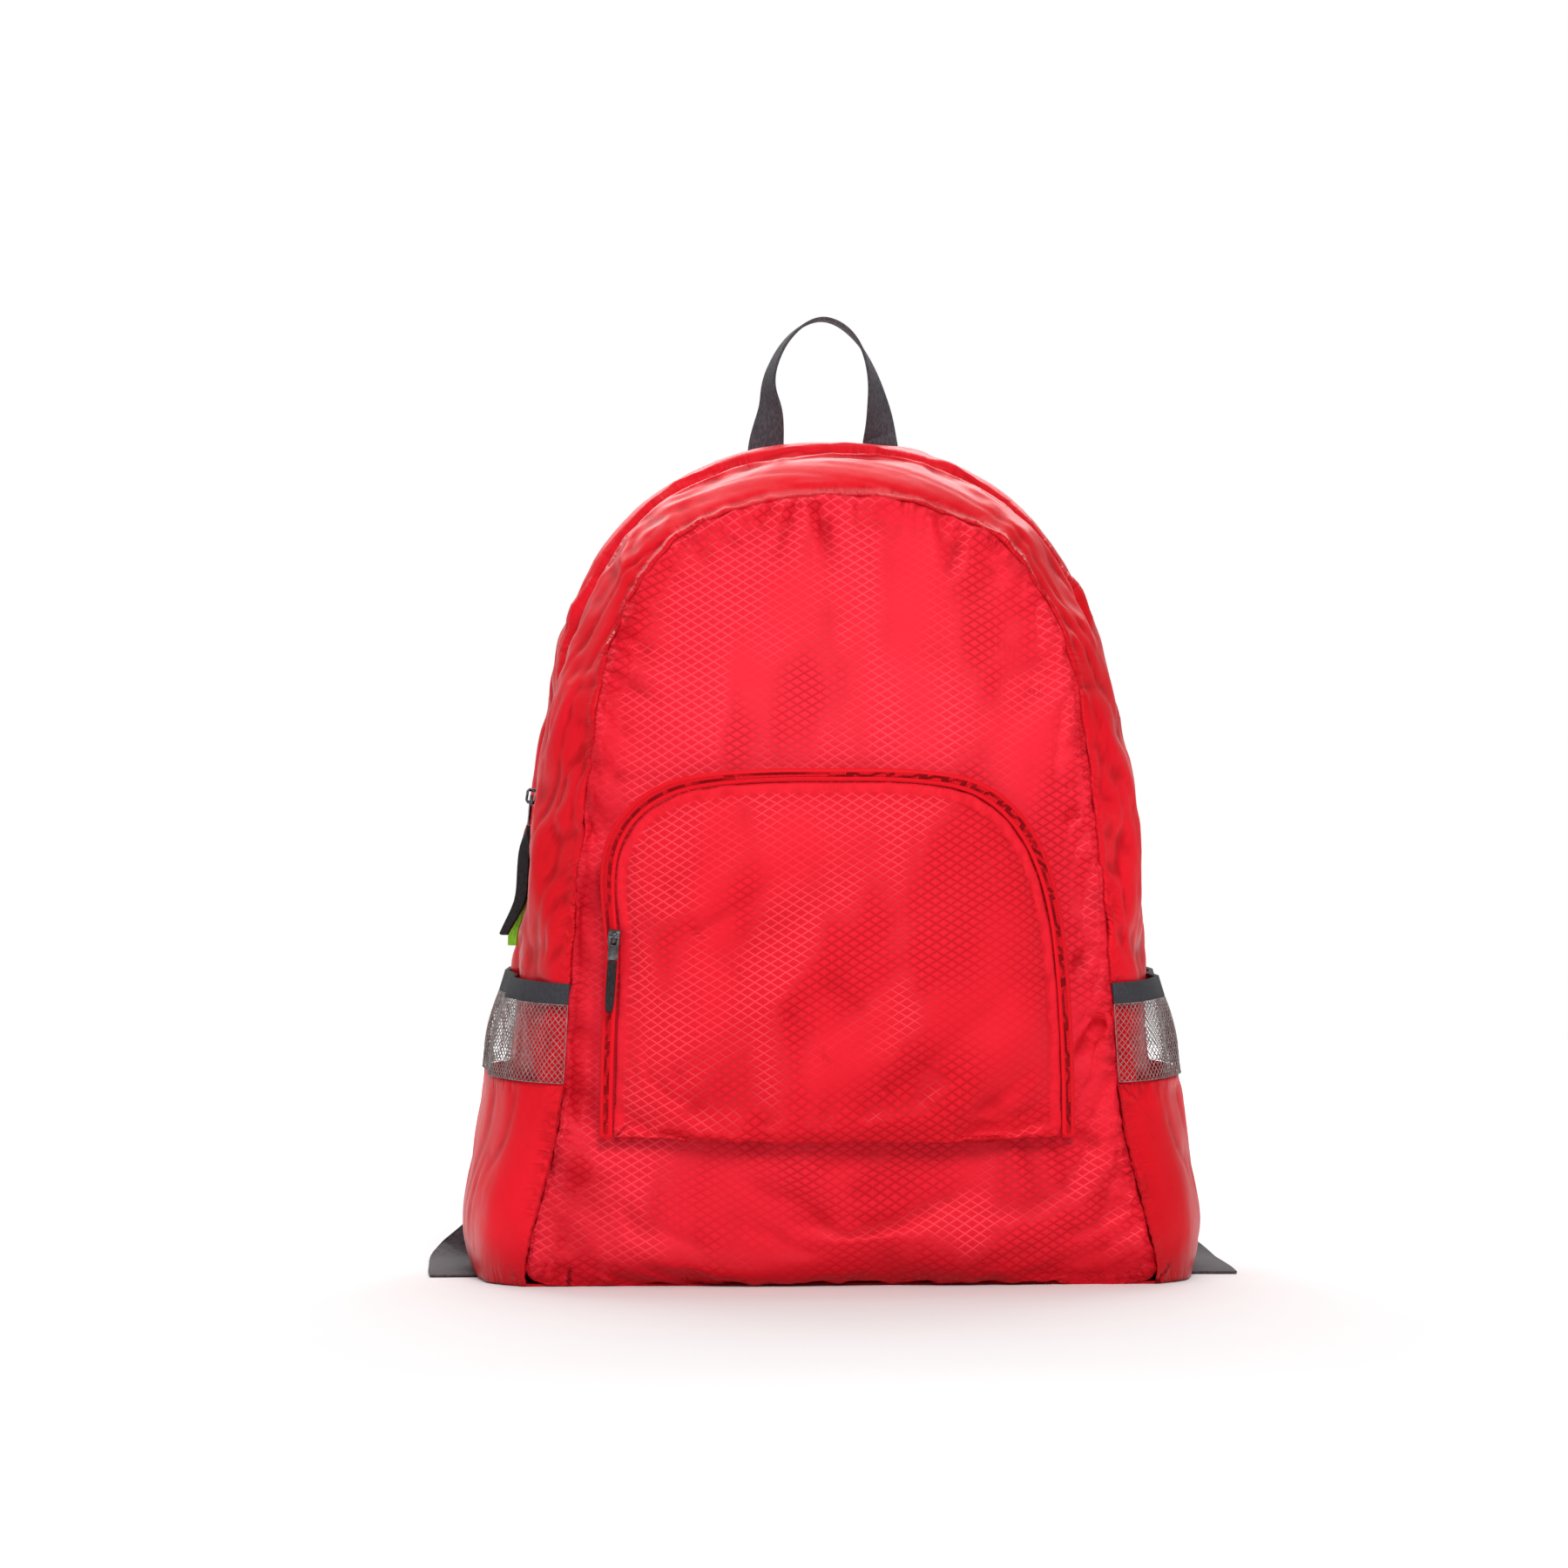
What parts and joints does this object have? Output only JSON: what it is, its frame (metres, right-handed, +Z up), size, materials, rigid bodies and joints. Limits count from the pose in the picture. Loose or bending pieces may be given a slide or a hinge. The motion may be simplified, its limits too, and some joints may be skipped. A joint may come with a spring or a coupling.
{
  "type": "packable backpack",
  "caption": "Lightweight arched daypack standing stuffed, with a zipped front pocket, mesh-topped side pockets, haul loop, shoulder straps and webbing tails.",
  "frame": {"origin": "middle of the flat base that the bag stands on", "axes": "+Z up, -Y towards the front panel with the pocket, +X to the right as the front is seen"},
  "size_m": [0.4234, 0.256, 0.5048],
  "materials": {
    "ripstop": "bright red nylon with a woven diamond grid",
    "taffeta": "plain red nylon taffeta, softly creased",
    "zip_tape": "dark red coil zip and tape",
    "webbing": "dark grey flat-woven webbing",
    "elastic": "dark grey ribbed elastic binding",
    "mesh": "grey open-knit mesh",
    "strap": "dark grey padded strap with bound edges",
    "plastic": "matte black moulded buckle",
    "metal": "dark plated zip slider",
    "pull_black": "black folded pull strip",
    "lime": "lime green pull lining"
  },
  "bodies": {
    "bag": {"front_panel": "ripstop", "back_panel": "taffeta", "front_gusset": "taffeta", "rear_gusset": "taffeta", "base_panel": "taffeta", "main_zip_chain": "zip_tape", "pocket_zip_chain": "zip_tape", "pocket_band": "taffeta", "pocket_panel": "ripstop", "haul_loop": "webbing", "side_elastic_left": "elastic", "side_elastic_right": "elastic", "side_mesh_left": "mesh", "side_mesh_right": "mesh", "side_cloth_left": "taffeta", "side_cloth_right": "taffeta", "shoulder_strap_left": "strap", "shoulder_strap_right": "strap", "ladder_lock_left": "plastic", "ladder_lock_right": "plastic", "lower_webbing_left": "webbing", "lower_webbing_right": "webbing", "anchor_tab_left": "taffeta", "anchor_tab_right": "taffeta", "main_zip_slider": "metal", "pocket_zip_slider": "metal"},
    "main_pull": {"main_zip_tab": "metal", "main_zip_strip": "pull_black", "main_zip_tip": "lime"},
    "pocket_pull": {"pocket_zip_tab": "metal", "pocket_zip_strip": "pull_black"}
  },
  "joints": [
    {"name": "main_pull_hinge", "type": "hinge", "parent": "bag", "child": "main_pull", "pos_m": [-0.1576, 0.00304, 0.24966], "axis": [-0.0566, 0.9984, -0.008], "range_deg": [0, 110]},
    {"name": "pocket_pull_hinge", "type": "hinge", "parent": "bag", "child": "pocket_pull", "pos_m": [-0.11658, -0.0882, 0.17798], "axis": [-0.9975, 0, 0.0701], "range_deg": [0, 110]}
  ]
}
